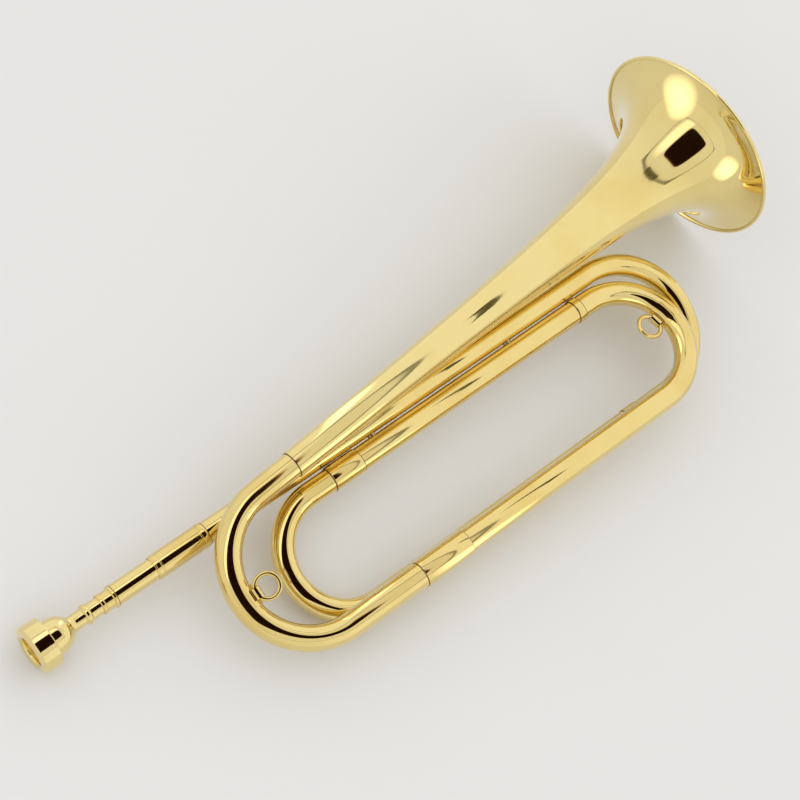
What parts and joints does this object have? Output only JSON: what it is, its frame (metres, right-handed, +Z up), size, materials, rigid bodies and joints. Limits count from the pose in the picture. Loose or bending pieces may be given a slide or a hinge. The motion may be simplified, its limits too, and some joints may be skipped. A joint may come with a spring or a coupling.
{
  "type": "valveless bugle",
  "caption": "Valveless brass bugle: doubly coiled tube, late-flaring bell, cup mouthpiece, sliding tuning shank and small lanyard rings inside the coil.",
  "frame": {"origin": "centre of the bottom of the bounding box, on the surface the bugle lies on", "axes": "+X towards the bell, nearly along the lead pipe; +Y across the coil towards the bell side; +Z up, with the bugle lying on its side on mouthpiece rim, inner left bow and bell rim"},
  "size_m": [0.4652, 0.1706, 0.1155],
  "materials": {
    "tube_brass": "mirror polished, clear lacquer",
    "bell_brass": "mirror polished, clear lacquer",
    "fitting_brass": "polished, clear lacquer",
    "mouthpiece_brass": "polished, clear lacquer",
    "soft_solder": "scraped solder under lacquer"
  },
  "bodies": {
    "horn": {"bell": "bell_brass", "bell_bow": "tube_brass", "bell_rim_wire": "bell_brass", "front_long_tube": "tube_brass", "front_tube_ferrule": "fitting_brass", "inner_left_bow": "tube_brass", "inner_right_bow": "tube_brass", "lead_pipe": "tube_brass", "left_ring_saddle": "fitting_brass", "middle_tube": "tube_brass", "middle_tube_ferrule": "fitting_brass", "middle_tube_ring": "fitting_brass", "outer_right_bow": "tube_brass", "rear_long_tube": "tube_brass", "rear_tube_ferrule": "fitting_brass", "right_ring_saddle": "fitting_brass", "solder_bridges": "soft_solder", "tuning_sleeve": "fitting_brass"},
    "tuning_slide": {"tuning_shank": "tube_brass", "mouthpiece_receiver": "fitting_brass"},
    "mouthpiece": {"mouthpiece": "mouthpiece_brass"},
    "left_ring": {"left_lanyard_ring": "fitting_brass"},
    "right_ring": {"right_lanyard_ring": "fitting_brass"}
  },
  "joints": [
    {"name": "tuning_pull", "type": "slide", "parent": "horn", "child": "tuning_slide", "axis": [-0.9985, 0, -0.0547], "range_m": [0, 0.016]},
    {"name": "mouthpiece_pull", "type": "slide", "parent": "tuning_slide", "child": "mouthpiece", "axis": [-0.9985, 0, -0.0547], "range_m": [0, 0.022]},
    {"name": "left_ring_swing", "type": "hinge", "parent": "horn", "child": "left_ring", "pos_m": [-0.12684, -0.03895, 0.031], "axis": [0.0109, -0.98, -0.1986], "range_deg": [-58, 112]},
    {"name": "right_ring_swing", "type": "hinge", "parent": "horn", "child": "right_ring", "pos_m": [0.15257, -0.04063, 0.03362], "axis": [-0.1385, 0.9902, -0.0166], "range_deg": [-88, 84]}
  ]
}
